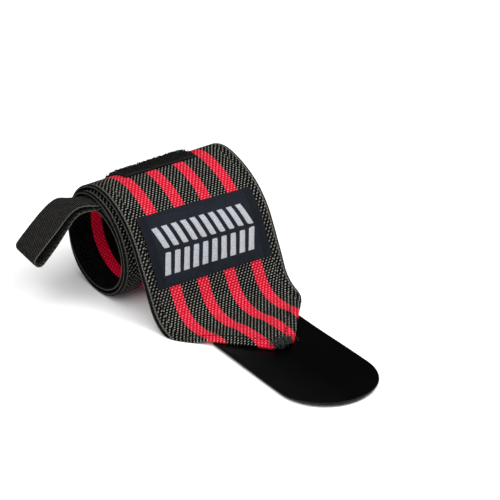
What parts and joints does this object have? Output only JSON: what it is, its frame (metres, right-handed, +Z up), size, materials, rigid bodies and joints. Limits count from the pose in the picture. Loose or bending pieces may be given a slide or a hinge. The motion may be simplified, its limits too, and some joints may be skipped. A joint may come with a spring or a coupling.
{
  "type": "wrist wrap",
  "caption": "Rolled elastic wrist support wrap lying on its side, with a thumb loop, a cloth label, a fuzzy fastening patch and a round-ended hook tab under its point.",
  "frame": {"origin": "on the surface it rests on, under the middle of its bounding box", "axes": "+X along the roll, away from the thumb loop; +Y from the fastening tab towards the roll; +Z up"},
  "size_m": [0.1126, 0.1846, 0.0569],
  "materials": {
    "elastic_band": "striped elastic weave in charcoal and red",
    "strap_webbing": "fine charcoal elastic weave",
    "label_cloth": "tight dark navy satin weave with folded ends",
    "loop_pile": "black fuzzy loop pile",
    "hook_backing": "black woven tape with a faint satin sheen"
  },
  "bodies": {
    "root": {"elastic_band": "elastic_band", "thumb_loop": "strap_webbing", "label": "label_cloth", "loop_patch": "loop_pile", "hook_tab": "hook_backing"}
  },
  "joints": []
}
